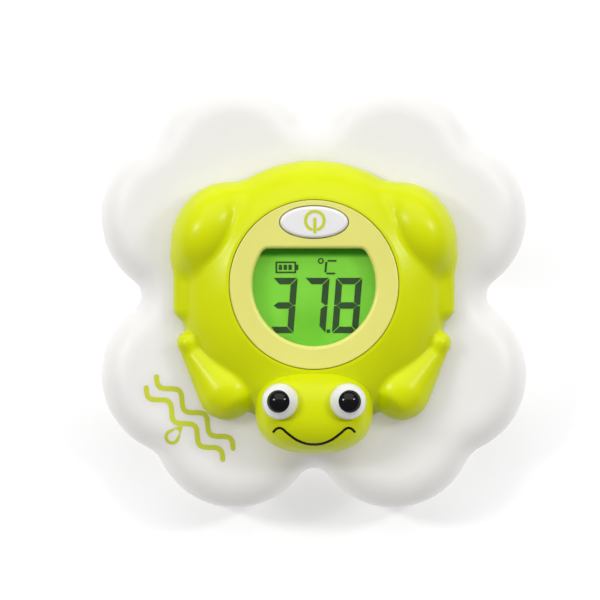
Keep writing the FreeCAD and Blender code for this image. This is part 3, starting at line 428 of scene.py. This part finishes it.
def ribbon(path, width, surface, rise=0.06, sink=0.12, caps=5):
    """A printed stroke along a path, laid on a surface, with round ends.

    surface(points) gives the points on it below each (x, y), and the normals there."""
    tip_half, edge_share = 0.02, 0.85
    path = np.array(path, float)
    half = width / 2
    steps = np.diff(path, axis=0)
    heading = np.vstack([steps[:1], (steps[1:] + steps[:-1]) / 2, steps[-1:]])
    heading /= np.linalg.norm(heading, axis=1, keepdims=True)
    angles = np.linspace(0, math.pi / 2, caps + 1)[1:]
    middles, headings, halves = list(path), list(heading), [half] * len(path)
    for angle in angles:
        size = max(half * math.cos(angle), tip_half)
        out = half * math.sin(angle)
        middles.append(path[-1] + heading[-1] * out)
        middles.insert(0, path[0] - heading[0] * out)
        headings.append(heading[-1])
        headings.insert(0, heading[0])
        halves.append(size)
        halves.insert(0, size)
    middles, headings, halves = np.array(middles), np.array(headings), np.array(halves)
    facing = np.sign(surface(path[:1])[1][0][2])
    side = np.stack([-headings[:, 1], headings[:, 0]], 1) * halves[:, None] * facing
    rows = []
    for shift in (1.0, 0.0, -1.0):
        place, normal = surface(middles + side * shift)
        rows.append((place + normal * rise * (1.0 if shift == 0 else edge_share), place - normal * sink))
    (left_top, left_low), (mid_top, mid_low), (right_top, right_low) = rows
    columns = [left_top, mid_top, right_top, right_low, mid_low, left_low]
    points = np.stack(columns, 1).reshape(-1, 3)
    count, wide = len(middles), len(columns)
    faces = []
    for k in range(count - 1):
        for c in range(wide):
            d = (c + 1) % wide
            faces.append((k * wide + c, k * wide + d, (k + 1) * wide + d, (k + 1) * wide + c))
    faces.append(tuple(range(wide))[::-1])
    faces.append(tuple((count - 1) * wide + c for c in range(wide)))
    return points, faces


def curve(knots, count=10):
    """A smooth open curve through a few points (Catmull-Rom)."""
    knots = np.array(knots, float)
    ends = np.vstack([2 * knots[0] - knots[1], knots, 2 * knots[-1] - knots[-2]])
    path = []
    for a, b, c, d in zip(ends, ends[1:], ends[2:], ends[3:]):
        for t in np.arange(count) / count:
            path.append(0.5 * (2 * b + (c - a) * t + (2 * a - 5 * b + 4 * c - d) * t ** 2
                               + (3 * b - a - 3 * c + d) * t ** 3))
    return path + [knots[-1]]


def oval_rings(rings, middle_y, closed, count=96):
    """A solid through stacked ovals, each (half length, half width, height).

    A closed one is a ring whose last oval joins its first; an open one is capped at both ends."""
    angles = np.arange(count) * math.tau / count
    points = [
        (long * math.cos(a), middle_y + wide * math.sin(a), height)
        for long, wide, height in rings for a in angles
    ]
    faces = []
    for k in range(len(rings) if closed else len(rings) - 1):
        first, second = k * count, (k + 1) % len(rings) * count
        faces += [
            (first + a, first + (a + 1) % count, second + (a + 1) % count, second + a)
            for a in range(count)
        ]
    if not closed:
        last = (len(rings) - 1) * count
        faces += [tuple(range(count))[::-1], tuple(range(last, last + count))]
    return points, faces


def joined(parts):
    points, faces = [], []
    for some_points, some_faces in parts:
        start = len(points)
        points += [tuple(p) for p in some_points]
        faces += [tuple(k + start for k in face) for face in some_faces]
    return points, faces


def level(height, facing=1.0):
    """A flat surface to print on, facing up or down."""
    def surface(places):
        flat = np.column_stack([places, np.full(len(places), height)])
        return flat, np.tile([0.0, 0.0, facing], (len(places), 1))
    return surface


def over(name):
    """The top surface of a CAD node, to print on."""
    mesh = frame["nodes"][name].data
    corners = [v.co / MM for v in mesh.vertices]
    tree = BVHTree.FromPolygons(corners, [tuple(f.vertices) for f in mesh.polygons])
    top = node_box(name)[1][2] + 1

    def surface(places):
        hits = [tree.ray_cast((x, y, top), (0, 0, -1))[:2] for x, y in places]
        return np.array([tuple(spot) for spot, _ in hits]), np.array([tuple(normal) for _, normal in hits])
    return surface


def below(field, top):
    """The surface of a solid as seen from above."""
    strides, stride_share = 80, 0.7

    def surface(places):
        points = np.column_stack([places, np.full(len(places), float(top))])
        for _ in range(strides):
            points[:, 2] -= np.maximum(field(points), 0.0) * stride_share
        normal = gradient(field, points)
        return points, normal / np.linalg.norm(normal, axis=1, keepdims=True)
    return surface


# ---- solids as distance fields ----

def blend(first, second, reach):
    """Smooth union of two fields."""
    part = np.clip(0.5 + 0.5 * (second - first) / reach, 0, 1)
    return second * (1 - part) + first * part - reach * part * (1 - part)


def ellipsoid(p, centre, radii, turn=0.0):
    q = p - np.array(centre)
    co, si = math.cos(math.radians(turn)), math.sin(math.radians(turn))
    local = np.stack([q[..., 0] * co + q[..., 1] * si, q[..., 1] * co - q[..., 0] * si, q[..., 2]], -1)
    radii = np.array(radii, float)
    near = np.linalg.norm(local / radii, axis=-1)
    far = np.linalg.norm(local / radii ** 2, axis=-1)
    return near * (near - 1) / np.maximum(far, 1e-9)


def limb(p, start, end, start_radius, end_radius):
    """A straight limb that tapers from a ball to a smaller ball."""
    start, end = np.array(start, float), np.array(end, float)
    line = end - start
    length = np.linalg.norm(line)
    q = p - start
    along = q @ line / length
    across = np.sqrt(np.maximum((q ** 2).sum(-1) - along ** 2, 0))
    taper = (start_radius - end_radius) / length
    slant = math.sqrt(1 - taper ** 2)
    foot = along * slant - across * taper
    side = across * slant + along * taper - start_radius
    first = np.sqrt(across ** 2 + along ** 2) - start_radius
    last = np.sqrt(across ** 2 + (along - length) ** 2) - end_radius
    return np.where(foot < 0, first, np.where(foot > length * slant, last, side))


def tube(p, x, y, radius):
    return np.hypot(p[..., 0] - x, p[..., 1] - y) - radius


def back_field(p, inset=0.0):
    """The domed back: half an ellipsoid that leans until its flat crown is centred on the face plate."""
    high = p[..., 2] - DECK
    q = p.copy()
    q[..., 1] = q[..., 1] - FACE_Y * high / (CROWN - DECK)
    q[..., 2] = high
    radius = BACK_RADIUS - inset
    return ellipsoid(q, (0, 0, 0), (radius, radius, BACK_DOME - inset))


def mirrored(p):
    """Folds the left half onto the right one."""
    q = p.copy()
    q[..., 0] = np.abs(q[..., 0])
    return q


def ramp(value, start, length):
    """0 up to the start, 1 from start + length on, and straight between them."""
    return np.clip((value - start) / length, 0, 1)


def frog_field(p):
    """The back with its thighs, shins, arms and hands; both sides are the same."""
    body = np.maximum(back_field(p), p[..., 2] - CROWN)
    q = mirrored(p)
    thigh = ellipsoid(q, centre=(27.2, 17.0, DECK + 3.2), radii=(12.4, 8.6, 10.6), turn=119.0)
    shin = limb(q, (33.2, 9.0, DECK + 2.6), (33.4, -3.4, DECK + 1.8), start_radius=3.0, end_radius=2.8)
    arm = limb(q, (22.4, -24.6, DECK + 1.8), (31.2, -14.6, DECK + 2.2), start_radius=7.6, end_radius=3.0)
    hand = ellipsoid(q, centre=(32.2, -12.3, DECK + 2.4), radii=(3.1, 3.0, 3.4))
    # the thigh's crease is tight, and fades out over the back and where the shin leaves it
    tight, wide_over_back, wide_at_shin = 1.2, 4.0, 2.2
    over_back = ramp(q[..., 1], 21.0, 6.0)
    at_shin = ramp(q[..., 0], 27.0, 4.0) * ramp(-q[..., 1], -15.0, 4.0)
    crease = tight + wide_over_back * over_back + wide_at_shin * at_shin
    shin_crease, hand_crease, arm_crease = 2.2, 1.0, 1.0
    legs = blend(blend(body, shin, shin_crease), thigh, crease)
    return blend(legs, blend(arm, hand, hand_crease), arm_crease)


def skin_field(p):
    """The frog's moulding: hollow below, with a stepped round opening for the face plate."""
    below_ledge = 3
    hollow = np.maximum(back_field(p, WALL), p[..., 2] - (PLATE_BASE - LEDGE_DEEP))
    seat = np.maximum(tube(p, 0, FACE_Y, FACE_RADIUS + FACE_GAP), PLATE_BASE - p[..., 2])
    bore = np.maximum(tube(p, 0, FACE_Y, FACE_RADIUS - LEDGE_REACH), PLATE_BASE - below_ledge - p[..., 2])
    solid = np.maximum(frog_field(p), DECK - p[..., 2])
    return np.maximum(solid, -np.minimum(hollow, np.minimum(seat, bore)))


def pillow_field(p):
    """The head's rounded form, squarer than an ellipsoid; its back runs under the skin."""
    back = HEAD_HIGH[1] + HEAD_TUCK
    middle = (0.0, (HEAD_LOW[1] + back) / 2, HEAD_HIGH[2] - HEAD_RISE)
    half = ((HEAD_HIGH[0] - HEAD_LOW[0]) / 2 + HEAD_SPREAD, (back - HEAD_LOW[1]) / 2 + HEAD_SPREAD, HEAD_RISE)
    total = sum(np.abs((p[..., k] - middle[k]) / half[k]) ** HEAD_POWER for k in range(3))
    return (np.maximum(total, 1e-9) ** (1 / HEAD_POWER) - 1) * HEAD_SCALE


def head_field(p):
    """The head's form, cut flat where it stands on the float."""
    return np.maximum(pillow_field(p), DECK - p[..., 2])


def face_field(p):
    """The head up to the frog's skin, with a ball socket for each eye."""
    head = np.maximum(head_field(p), -frog_field(p))
    socket = np.linalg.norm(mirrored(p) - EYE_RIGHT, axis=-1) - EYE_RADIUS
    return np.maximum(head, -socket)


# ---- pieces ----

def make_frog():
    points, faces = contour(skin_field, (-38.0, -36.0, DECK - 0.7), (38.0, 37.0, CROWN + 1.2), STEP_SKIN)
    skin = add_mesh("frog_skin", points, faces, LOOKS["frog_lime"])
    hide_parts("frog_shell")


def make_head():
    points, faces = contour(face_field, HEAD_LOW - 1.1, HEAD_HIGH + 2.6, STEP_HEAD)
    head = add_mesh("frog_face", points, faces, LOOKS["frog_lime"])
    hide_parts("frog_head")


def make_smile():
    """A black line that dips under the eyes and hooks over at its ends."""
    half = [(-10.4, -35.1), (-9.7, -34.4), (-8.8, -34.1), (-7.9, -34.5), (-6.9, -35.4), (-4.6, -37.1),
            (-2.2, -38.1)]
    knots = half + [(0.0, -38.35)] + [(-x, y) for x, y in half[::-1]]
    points, faces = ribbon(curve(knots, 6), 0.6, below(head_field, HEAD_HIGH[2] + 1))
    add_mesh("smile", points, faces, SMILE_BLACK)


def slanted(points, base_y, slant):
    lean = math.tan(math.radians(slant))
    return [(x + (y - base_y) * lean, y) for x, y in points]


def digit(segments, left, base, wide, tall, bar, gap, slant):
    """Outlines of the lit bars of one seven-bar digit, mitred where they meet."""
    mid = tall / 2
    half = bar / 2
    top_bar = [(gap, tall), (wide - gap, tall), (wide - gap - bar, tall - bar), (gap + bar, tall - bar)]
    middle = [(gap + half * 0.6, mid), (gap + bar, mid + half), (wide - gap - bar, mid + half),
              (wide - gap - half * 0.6, mid), (wide - gap - bar, mid - half), (gap + bar, mid - half)]
    right_up = [(wide, tall - gap), (wide, mid + gap * 1.2), (wide - half * 0.8, mid + gap * 0.6),
                (wide - bar, mid + half + gap * 0.4), (wide - bar, tall - bar - gap)]
    shapes = {"a": top_bar, "g": middle, "b": right_up}
    shapes["f"] = [(wide - x, y) for x, y in right_up]
    shapes["c"] = [(x, tall - y) for x, y in right_up]
    shapes["e"] = [(wide - x, tall - y) for x, y in right_up]
    shapes["d"] = [(x, tall - y) for x, y in top_bar]
    # the bottom bar of an open digit, whose free end slopes the other way
    shapes["D"] = [(gap + 0.4, bar), (wide - gap - bar, bar), (wide - gap, 0), (gap + bar, 0)]
    placed = []
    for name in segments:
        outline = [(left + x, base + y) for x, y in shapes[name]]
        area = sum(x0 * y1 - x1 * y0 for (x0, y0), (x1, y1) in zip(outline, outline[1:] + outline[:1]))
        placed.append(slanted(outline if area > 0 else outline[::-1], base, slant))
    return placed


def bar_shape(x0, y0, x1, y1):
    return [(x0, y0), (x1, y0), (x1, y1), (x0, y1)]


def make_digits():
    """The reading 37.8; the first digit's bottom bar is partly under the window's edge."""
    base, slant, dot_left, dot_lift, dot = -9.8, 4.4, 3.2, 0.05, 0.9
    size = dict(base=base, tall=14.2, bar=1.65, gap=0.16, slant=slant)
    outlines = digit("abcDg", -11.6, wide=6.3, **size)
    outlines += digit("abc", -3.4, wide=6.3, **size)
    outlines += digit("abcdefg", 4.6, wide=6.7, **size)
    point = bar_shape(dot_left, base + dot_lift, dot_left + dot, base + dot_lift + dot)
    outlines.append(slanted(point, base, slant))
    points, faces = prism(outlines, *INK_LEVELS)
    add_mesh("display_digits", points, faces, INK, sharp=30)


def degree_letter():
    """The letter of the degree sign, as one upright bar and two flat ones."""
    base, slant, upright_left, left, right, line = 5.3, 6, 2.6, 3.15, 5.4, 0.45
    bars = [
        bar_shape(upright_left, base + 0.5, upright_left + 0.5, base + 3.2),
        bar_shape(left, base, right, base + line),
        bar_shape(left, base + 3.25, right, base + 3.7),
    ]
    return prism([slanted(bar, base, slant) for bar in bars], *INK_LEVELS)


def battery_symbol():
    """A battery's outline with its terminal and three charge bars."""
    left, right, low, top, line = -9.9, -4.6, 5.6, 8.6, 0.42
    knob_inset, knob_out, inset, bar, pitch = 0.8, 0.55, 0.85, 0.85, 1.25
    frame_bars = [
        bar_shape(left, low, right, low + line),
        bar_shape(left, top - line, right, top),
        bar_shape(left, low + line, left + line, top - line),
        bar_shape(right - line, low + line, right, top - line),
        bar_shape(right, low + knob_inset, right + knob_out, top - knob_inset),
    ]
    charge = [
        bar_shape(start, low + inset, start + bar, top - inset)
        for start in (left + inset + k * pitch for k in range(3))
    ]
    return prism(frame_bars + charge, *INK_LEVELS)


def make_symbols():
    sheet = level(GLASS_TOP + 0.03)
    degree = ribbon(arc((1.75, 8.75), 0.6, 90, 450, 25), 0.35, sheet, rise=0.09, sink=0.01)
    points, faces = joined([degree, degree_letter(), battery_symbol()])
    add_mesh("display_symbols", points, faces, INK, sharp=30)


def make_power_mark():
    """An open ring with a stem in its gap, which points to the display."""
    x, y = 0.2, BUTTON[1] + 0.35
    radius, ring_start, ring_end = 2.4, -68, 248
    sheet = level(BUTTON_TOP)
    ring = ribbon(arc((x, y), radius, ring_start, ring_end, 40), 0.8, sheet, PRINT_RISE, PRINT_SINK)
    stem = ribbon([(x, y + 0.4), (x, y - 1.0), (x, y - 2.9)], 0.85, sheet, PRINT_RISE, PRINT_SINK)
    points, faces = joined([ring, stem])
    add_mesh("power_mark", points, faces, PRINT_LIME, body="button", sharp=30)


def make_membrane():
    """The silicone sheet under the button: a held rim, a skirt (the part that flexes in the real sheet, here
    a fixed piece) and a pad that moves.
    """
    low, high = node_box("button_membrane")
    flange_low, flange_high = node_box("power_button")
    sheet, rim, skirt_wall, pad_thick, boss, boss_clear = 0.5, 0.25, 0.15, 0.4, 1.8, 0.02
    long, wide = high[0], (high[1] - low[1]) / 2
    pad_long, pad_wide = flange_high[0] - 0.05, (flange_high[1] - flange_low[1]) / 2 - 0.02
    seat, top = high[2] - sheet, high[2]
    rim_top, skirt_base = seat + rim, top - skirt_wall
    rings = [
        (long, wide, seat), (pad_long + 0.40, pad_wide + 0.34, seat), (pad_long, pad_wide, skirt_base),
        (pad_long, pad_wide, top), (pad_long + 0.45, pad_wide + 0.40, rim_top), (long, wide, rim_top),
    ]
    points, faces = oval_rings(rings[::-1], BUTTON[1], closed=True)
    skirt = add_mesh("membrane_skirt", points, faces, LOOKS["silicone"], body=None)
    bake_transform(skirt)
    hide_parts("button_membrane")

    pad_base = top - pad_thick
    rings = [(boss, boss, low[2] + boss_clear), (boss, boss, pad_base), (pad_long, pad_wide, pad_base),
             (pad_long, pad_wide, top)]
    points, faces = oval_rings(rings, BUTTON[1], closed=False)
    add_mesh("membrane_pad", points, faces, LOOKS["silicone"], body="button")


def make_petal_mark():
    """Two waves with a drop below them, printed across the petal at the lower left."""
    middle, turn = np.array([-32.0, -31.7]), math.radians(-43)
    half_long, height, wave_length = 13.5, 1.35, 9.0
    co, si = math.cos(turn), math.sin(turn)

    def place(points):
        return [(middle[0] + x * co - y * si, middle[1] + x * si + y * co) for x, y in points]

    sheet = over("float_top")
    parts = []
    for rise in (1.9, -2.0):
        path = [
            (x, rise + height * math.sin(x * math.tau / wave_length))
            for x in np.linspace(-half_long, half_long, 109)
        ]
        parts.append(ribbon(place(path), 1.3, sheet, PRINT_RISE, PRINT_SINK))
    radius, reach, low = 1.55, 3.3, -6.7
    slope = math.degrees(math.asin(radius / reach))
    drop = [(0, low + reach)] + arc((0, low), radius, 180 - slope, 360 + slope, 30) + [(0, low + reach)]
    parts.append(ribbon(place(drop), 0.8, sheet, PRINT_RISE, PRINT_SINK))
    points, faces = joined(parts)
    add_mesh("petal_mark", points, faces, PRINT_LIME, sharp=30)


def make_cap_arrows():
    """Two raised arrows on the battery cap that show which way it turns."""
    radius, line, barb, rise, sink = 11.6, 0.9, 1.5, 0.2, 0.1
    sweep, tip_sweep = 82.0, 96.0
    face = level(CAP_FACE, -1.0)
    parts = []
    for start in (35.0, 215.0):
        shaft = arc((0, 0), radius, start, start + sweep, 28)
        root, tip = (np.array(arc((0, 0), 1.0, start + turn, start + turn, 1)[0])
                     for turn in (sweep, tip_sweep))
        head = [tuple(root * (radius + barb)), tuple(tip * radius), tuple(root * (radius - barb))]
        parts += [ribbon(shaft, line, face, rise, sink), prism([head], CAP_FACE - rise, CAP_FACE + sink)]
    points, faces = joined(parts)
    add_mesh("cap_arrows", points, faces, LOOKS["float_white"], body="cap", sharp=30)


# ---- stage ----

def make_floor():
    mesh = bpy.data.meshes.new("floor")
    reach, under = 4.0, -0.0004
    mesh.from_pydata([(-reach, -reach, under), (reach, -reach, under), (reach, reach, under),
                      (-reach, reach, under)], [], [(0, 1, 2, 3)])
    look = Look("floor_paper")
    drift = look.noise(300.0)
    look.link(look.mix(look.spread(drift, 0, 1), (0.68, 0.68, 0.68, 1), (0.70, 0.70, 0.70, 1)), "Base Color")
    look.shader.inputs["Emission Color"].default_value = (1.0, 1.0, 1.0, 1.0)
    look.shader.inputs["Emission Strength"].default_value = 0.44
    look.bump([(look.noise(1.5, 3.0), 0.01)])
    look.shader.inputs["Roughness"].default_value = 0.8
    look.shader.inputs["Specular IOR Level"].default_value = 0.2
    mesh.materials.append(look.material)
    floor = bpy.data.objects.new("floor", mesh)
    bpy.context.scene.collection.objects.link(floor)


def softbox(name, place, size, power):
    target = Vector((0.0, 0.0, DECK * MM))
    light = bpy.data.lights.new(name, "AREA")
    light.shape = "RECTANGLE"
    light.size, light.size_y = size
    light.energy = power
    box = bpy.data.objects.new(name, light)
    box.location = place
    box.rotation_euler = (target - Vector(place)).to_track_quat("-Z", "Y").to_euler()
    box.visible_camera = False
    bpy.context.scene.collection.objects.link(box)


def make_lights():
    softbox("key", (0.0, 2.1, 2.2), (4.5, 3.0), 65.0)
    softbox("side_left", (-2.1, 0.7, 2.0), (0.4, 0.7), 30.0)
    softbox("side_right", (2.1, 0.9, 2.0), (0.4, 0.7), 27.0)
    world = bpy.data.worlds.new("studio")
    world.use_nodes = True
    world.node_tree.nodes["Background"].inputs["Color"].default_value = (1.0, 1.0, 1.0, 1.0)
    world.node_tree.nodes["Background"].inputs["Strength"].default_value = 0.20
    bpy.context.scene.world = world


def make_camera():
    """A long lens straight above the display, with the power button towards the top of the picture."""
    camera = bpy.data.cameras.new("camera")
    camera.lens, camera.sensor_width = 800.0, 36.0
    picture_width, aim = 154.6 * MM, (-3.6 * MM, -1.3 * MM)
    focus = DECK * MM
    camera.clip_start, camera.clip_end = 0.1, 20.0
    eye = bpy.data.objects.new("camera", camera)
    eye.location = (aim[0], aim[1], focus + picture_width * camera.lens / camera.sensor_width)
    bpy.context.scene.collection.objects.link(eye)
    bpy.context.scene.camera = eye
    bpy.context.scene.view_settings.view_transform = "Standard"


dress_nodes()
make_frog()
make_head()
make_smile()
make_digits()
make_symbols()
make_power_mark()
make_membrane()
make_petal_mark()
make_cap_arrows()
make_floor()
make_lights()
make_camera()
